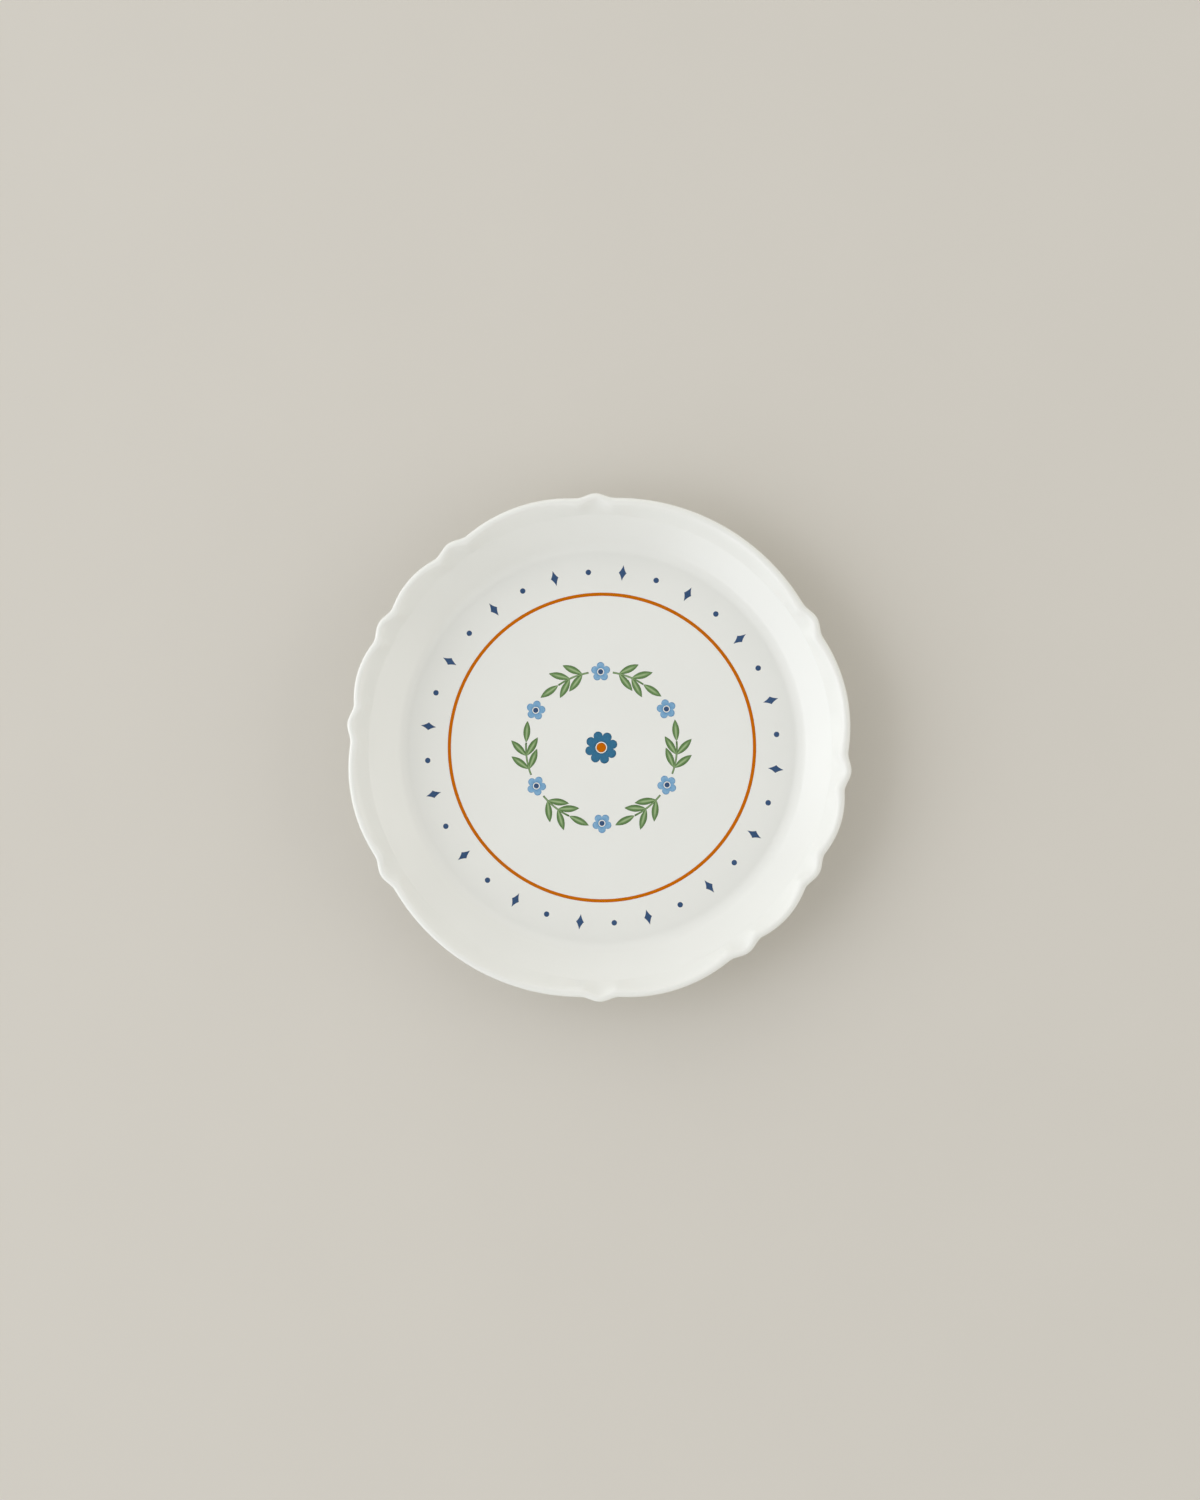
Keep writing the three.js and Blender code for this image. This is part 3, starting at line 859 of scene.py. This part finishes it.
def circle(diameter):
    """A round outline by its share of a turn."""
    radius = diameter / 2
    return lambda share: (radius * math.cos(FULL_TURN * share), radius * math.sin(FULL_TURN * share))


def lozenge(long, wide, waist):
    """A lozenge's outline by its share of the way round: four curves, bowed towards the middle."""

    def outline(share):
        side = int(share * 4)
        along = share * 4 - side
        bow = 2 * along * (1 - along) * waist
        near = (1 - along) ** 2 + bow
        far = along**2 + bow
        quarters = ((near, far), (-far, near), (-near, -far), (far, -near))
        x, y = quarters[side]
        return x * long / 2, y * wide / 2

    return outline


def leaf_patch(sizes, stem_turn, heading):
    """A leaf that leaves the wreath's stem at a turn and points along a heading."""
    base = Vector((math.cos(stem_turn), math.sin(stem_turn))) * sizes.wreath_radius
    ahead = Vector((math.cos(heading), math.sin(heading)))
    aside = Vector((-ahead.y, ahead.x))

    def spot(along, place):
        half_width = 2 * along * (1 - along) * sizes.leaf_width
        return base + ahead * (along * sizes.leaf_length) + aside * ((2 * place - 1) * half_width)

    return strip_patch(spot, LEAF_STEPS, 1)


def stem_patch(sizes, first, last):
    """A stem along the wreath's circle, thinner than the leaves that lie over it."""

    def spot(along, place):
        turn = first + (last - first) * along
        radius = sizes.wreath_radius + (place - 0.5) * sizes.stem_width
        return radius * math.cos(turn), radius * math.sin(turn)

    return strip_patch(spot, STEM_STEPS, sizes.stem_film)


def sprig_patches(sizes, direction):
    """A sprig that grows from the blossom at angle 0, anticlockwise for 1 and clockwise for -1."""
    margin = (sizes.blossom_radius + sizes.stem_gap) / sizes.wreath_radius
    finish = FULL_TURN / BLOSSOM_COUNT - margin - sizes.leaf_length / sizes.wreath_radius
    growth = direction * math.pi / 2
    patches = [stem_patch(sizes, direction * margin, direction * finish)]
    patches.append(leaf_patch(sizes, direction * finish, direction * finish + growth))
    spacing = sizes.leaf_spacing / sizes.wreath_radius
    place = finish - spacing
    while place > margin:
        turn = direction * place
        for spread in (-sizes.leaf_spread, sizes.leaf_spread):
            patches.append(leaf_patch(sizes, turn, turn + growth + spread))
        place -= spacing
    return patches


def ring_of_copies(values):
    """A tree that copies a motif round Z, each copy with a tone of its own."""
    tree, given, result = new_tree("ring_of_copies", values)
    points = add(tree, "GeometryNodePoints", {"Count": given["Copies"]})
    chance = add(tree, "FunctionNodeRandomValue", {"Seed": given["Seed"]}, data_type="FLOAT")
    stored = {"Geometry": points, "Name": "tone", "Value": chance.outputs["Value"]}
    toned = add(tree, "GeometryNodeStoreNamedAttribute", stored, data_type="FLOAT")
    step = reckon(tree, "DIVIDE", FULL_TURN, given["Copies"])
    number = add(tree, "GeometryNodeInputIndex")
    turn = reckon(tree, "MULTIPLY_ADD", number, step, given["First Turn"])
    turned = add(tree, "ShaderNodeCombineXYZ", {"Z": turn})
    placing = {"Points": toned, "Instance": given["Shape"], "Rotation": turned}
    copies = add(tree, "GeometryNodeInstanceOnPoints", placing)
    real = add(tree, "GeometryNodeRealizeInstances", {"Geometry": copies})
    done = add(tree, "GeometryNodeSetMaterial", {"Geometry": real, "Material": given["Finish"]})
    tree.links.new(done.outputs[0], result)
    return tree


def numbered(stem, count, digits=1):
    """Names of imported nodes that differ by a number."""
    return [f"{stem}_{number:0{digits}}" for number in range(1, count + 1)]


def lay(name, make_finish, nodes, patches, copies=1, first_turn=0.0):
    """Lay copies of some films round the plate, as one piece that stands for its nodes.

    The finish is made on first use, and has the name of the function that makes it.
    """
    scene = bpy.context.scene
    finish = bpy.data.materials.get(make_finish.__name__) or make_finish(scene.plate_colours)
    piece = new_piece(name, film_mesh(name, patches, scene.plate_transfers.film))
    values = {"Copies": copies, "First Turn": first_turn, "Seed": SEEDS[name], "Finish": finish}
    grow(piece, ring_of_copies, values)
    settle(piece, nodes)


class CAKEPLATE_OT_band(bpy.types.Operator):
    """Lay the plain brown line round the well"""

    bl_idname = "cake_plate.band"
    bl_label = "Brown line"

    def execute(self, context):
        sizes = context.scene.plate_transfers
        outer = sizes.band_radius
        inner = outer - sizes.band_width
        patches = [ring_patch(inner, lambda turn: outer, 0, LINE_STEPS)]
        lay("brown_line", fired_brown_enamel, ["band_line"], patches)
        return {"FINISHED"}


class CAKEPLATE_OT_rosette(bpy.types.Operator):
    """Lay the rosette and its eye in the middle of the well"""

    bl_idname = "cake_plate.rosette"
    bl_label = "Rosette"

    def execute(self, context):
        sizes = context.scene.plate_transfers
        outer = petal_edge(sizes.rosette_petals, sizes.rosette_radius, sizes.rosette_notch)
        inner = sizes.rosette_eye / 2 + sizes.eye_gap
        patches = [ring_patch(inner, outer, 0, ROSETTE_STEPS)]
        lay("rosette_petals", fired_cobalt_enamel, ["rosette"], patches)
        patches = [disc_patch(circle(sizes.rosette_eye), 0, ROSETTE_EYE_STEPS)]
        lay("rosette_centre", fired_brown_enamel, ["rosette_eye"], patches)
        return {"FINISHED"}


class CAKEPLATE_OT_sprigs(bpy.types.Operator):
    """Lay the leafy sprigs of the wreath"""

    bl_idname = "cake_plate.sprigs"
    bl_label = "Wreath sprigs"

    def execute(self, context):
        sizes = context.scene.plate_transfers
        patches = sprig_patches(sizes, 1) + sprig_patches(sizes, -1)
        nodes = numbered("sprig", BLOSSOM_COUNT)
        lay("wreath_sprigs", fired_leaf_enamel, nodes, patches, BLOSSOM_COUNT // 2)
        return {"FINISHED"}


class CAKEPLATE_OT_blossoms(bpy.types.Operator):
    """Lay the blossoms of the wreath and their eyes"""

    bl_idname = "cake_plate.blossoms"
    bl_label = "Blossoms"

    def execute(self, context):
        sizes = context.scene.plate_transfers
        count = BLOSSOM_COUNT
        middle = sizes.wreath_radius
        outer = petal_edge(sizes.blossom_petals, sizes.blossom_radius, sizes.blossom_notch)
        inner = sizes.blossom_eye / 2 + sizes.eye_gap
        patches = [ring_patch(inner, outer, middle, BLOSSOM_STEPS)]
        nodes = numbered("blossom", count)
        lay("blossoms", fired_petal_enamel, nodes, patches, count)
        patches = [disc_patch(circle(sizes.blossom_eye), middle, BLOSSOM_EYE_STEPS)]
        nodes = numbered("blossom_eye", count)
        lay("blossom_eyes", fired_slate_enamel, nodes, patches, count)
        return {"FINISHED"}


class CAKEPLATE_OT_border(bpy.types.Operator):
    """Lay the ring of lozenges and dots near the wall"""

    bl_idname = "cake_plate.border"
    bl_label = "Border"

    def execute(self, context):
        sizes = context.scene.plate_transfers
        count = BORDER_COUNT
        middle = sizes.border_radius
        outline = lozenge(sizes.lozenge_length, sizes.lozenge_width, sizes.lozenge_waist)
        patches = [disc_patch(outline, middle, LOZENGE_STEPS)]
        nodes = numbered("border_lozenge", count, 2)
        lay("border_lozenges", fired_slate_enamel, nodes, patches, count)
        patches = [disc_patch(circle(sizes.dot_diameter), middle, DOT_STEPS)]
        nodes = numbered("border_dot", count, 2)
        lay("border_dots", fired_slate_enamel, nodes, patches, count, math.pi / count)
        return {"FINISHED"}


# Stage


def panel_light(name, stage, foot, width, low, high, power, tone, mirrored=False):
    """A soft upright panel of light over a point of the floor, which faces the plate.

    It fades towards its two ends and stays out of the picture. The glaze mirrors it only if asked.
    """
    data = bpy.data.lights.new(name, "AREA")
    data.shape = "RECTANGLE"
    data.size = width
    data.size_y = high - low
    data.color = tone
    data.energy = power
    data.use_nodes = True
    tree = data.node_tree
    across = part(tree, add(tree, "ShaderNodeNewGeometry").outputs["Parametric"], "X")
    aside = off_middle(tree, across)
    core = stage.panel_core / 2
    fade = ramp(tree, aside, core, 0.5, 1, 0, interpolation_type="SMOOTHSTEP")
    tree.links.new(fade, tree.nodes["Emission"].inputs["Strength"])
    panel = new_piece(name, data)
    panel.location = foot + Vector((0, 0, (low + high) / 2))
    panel.rotation_mode = "QUATERNION"
    panel.rotation_quaternion = (-foot).to_track_quat("-Z", "Y")
    panel.visible_camera = False
    panel.visible_glossy = mirrored


def room_light(stage):
    """Even light from all round, dim straight above where the camera and its stand are."""
    world = bpy.data.worlds.new("room")
    world.use_nodes = True
    tree = world.node_tree
    height = part(tree, add(tree, "ShaderNodeTexCoord").outputs["Generated"], "Z")
    outer = math.cos(stage.overhead_reach)
    inner = math.cos(stage.overhead_reach - stage.overhead_blur)
    dim = stage.room_light * stage.overhead_share
    background = tree.nodes["Background"]
    background.inputs["Color"].default_value = (*stage.room_tone, 1)
    strength = ramp(tree, height, outer, inner, stage.room_light, dim)
    tree.links.new(strength, background.inputs["Strength"])
    return world


def lay_floor(scene):
    """A plain square floor under the plate."""
    cells = STAGE_CELLS
    half = scene.plate_stage.floor_width / 2
    mesh = bpy.data.meshes.new("stage_floor")
    bm = bmesh.new()
    bmesh.ops.create_grid(bm, x_segments=cells, y_segments=cells, size=half)
    bm.to_mesh(mesh)
    bm.free()
    mesh.materials.append(matt_painted_board(scene.plate_colours))
    floor = new_piece("stage_floor", mesh)


def set_lights(scene, right):
    """A window to the left, low panels far off on three sides, and the room."""
    stage = scene.plate_stage
    cool = stage.daylight
    warm = stage.room_tone
    far = stage.panel_distance
    wide = stage.panel_width
    top = stage.panel_top

    def foot(turn, distance):
        return Matrix.Rotation(turn, 3, "Z") @ right * distance

    place = foot(stage.window_turn, stage.window_distance)
    sill = stage.window_sill
    high = stage.window_top
    panel_light("window", stage, place, stage.window_width, sill, high, stage.window_power, cool)
    place = foot(stage.screen_turn, far)
    high = stage.screen_top
    panel_light("screen", stage, place, stage.screen_width, 0, high, stage.screen_power, cool, True)
    place = foot(stage.side_turn, far)
    panel_light("side", stage, place, wide, 0, top, stage.side_power, warm)
    place = foot(stage.fill_turn, far)
    panel_light("fill", stage, place, wide, stage.fill_foot, top, stage.fill_power, warm, True)
    scene.world = room_light(stage)
    scene.view_settings.view_transform = "Standard"


def set_camera(scene, right):
    """A camera almost straight above, aimed a little off the rim's middle as in the picture."""
    stage = scene.plate_stage
    above = Vector((-right.y, right.x, 0))
    upright = Vector((0, 0, 1))
    aim = upright * CAD_HIGH.z + right * stage.aim_right - above * stage.aim_down
    lean = right * math.sin(stage.camera_lean) + upright * math.cos(stage.camera_lean)
    data = bpy.data.cameras.new("picture_camera")
    data.lens = stage.lens
    camera = new_piece("picture_camera", data)
    side = above.cross(lean).normalized()
    head = lean.cross(side)
    turn = Matrix((side, head, lean)).transposed()
    camera.matrix_world = Matrix.Translation(aim + lean * stage.camera_distance) @ turn.to_4x4()
    scene.camera = camera


class CAKEPLATE_OT_stage(bpy.types.Operator):
    """Set the floor, the light and the camera"""

    bl_idname = "cake_plate.stage"
    bl_label = "Stage"

    def execute(self, context):
        scene = context.scene
        turn = scene.plate_stage.picture_right
        right = Vector((math.cos(turn), math.sin(turn), 0))
        lay_floor(scene)
        set_lights(scene, right)
        set_camera(scene, right)
        return {"FINISHED"}


class CAKEPLATE_PT_panel(bpy.types.Panel):
    """The plate's sizes, colours and pieces."""

    bl_idname = "CAKEPLATE_PT_panel"
    bl_label = "Cake plate"
    bl_space_type = "VIEW_3D"
    bl_region_type = "UI"
    bl_category = "Cake Plate"

    def draw(self, context):
        for operator in OPERATORS:
            self.layout.operator(operator.bl_idname)
        for name in GROUPS:
            box = self.layout.box()
            group = getattr(context.scene, name)
            for prop in group.__annotations__:
                box.prop(group, prop)


GROUPS = {
    "plate_body": BodySizes,
    "plate_transfers": TransferSizes,
    "plate_colours": FinishColours,
    "plate_stage": StageSettings,
}
OPERATORS = (
    CAKEPLATE_OT_body,
    CAKEPLATE_OT_band,
    CAKEPLATE_OT_rosette,
    CAKEPLATE_OT_sprigs,
    CAKEPLATE_OT_blossoms,
    CAKEPLATE_OT_border,
    CAKEPLATE_OT_stage,
)


def register():
    for group in (*GROUPS.values(), *OPERATORS, CAKEPLATE_PT_panel):
        bpy.utils.register_class(group)
    for name, group in GROUPS.items():
        setattr(bpy.types.Scene, name, PointerProperty(type=group))


def unregister():
    for name in GROUPS:
        delattr(bpy.types.Scene, name)
    for group in (CAKEPLATE_PT_panel, *OPERATORS, *GROUPS.values()):
        bpy.utils.unregister_class(group)


def main():
    register()
    bpy.ops.cake_plate.body()
    bpy.ops.cake_plate.band()
    bpy.ops.cake_plate.rosette()
    bpy.ops.cake_plate.sprigs()
    bpy.ops.cake_plate.blossoms()
    bpy.ops.cake_plate.border()
    bpy.ops.cake_plate.stage()


if __name__ == "__main__":
    main()
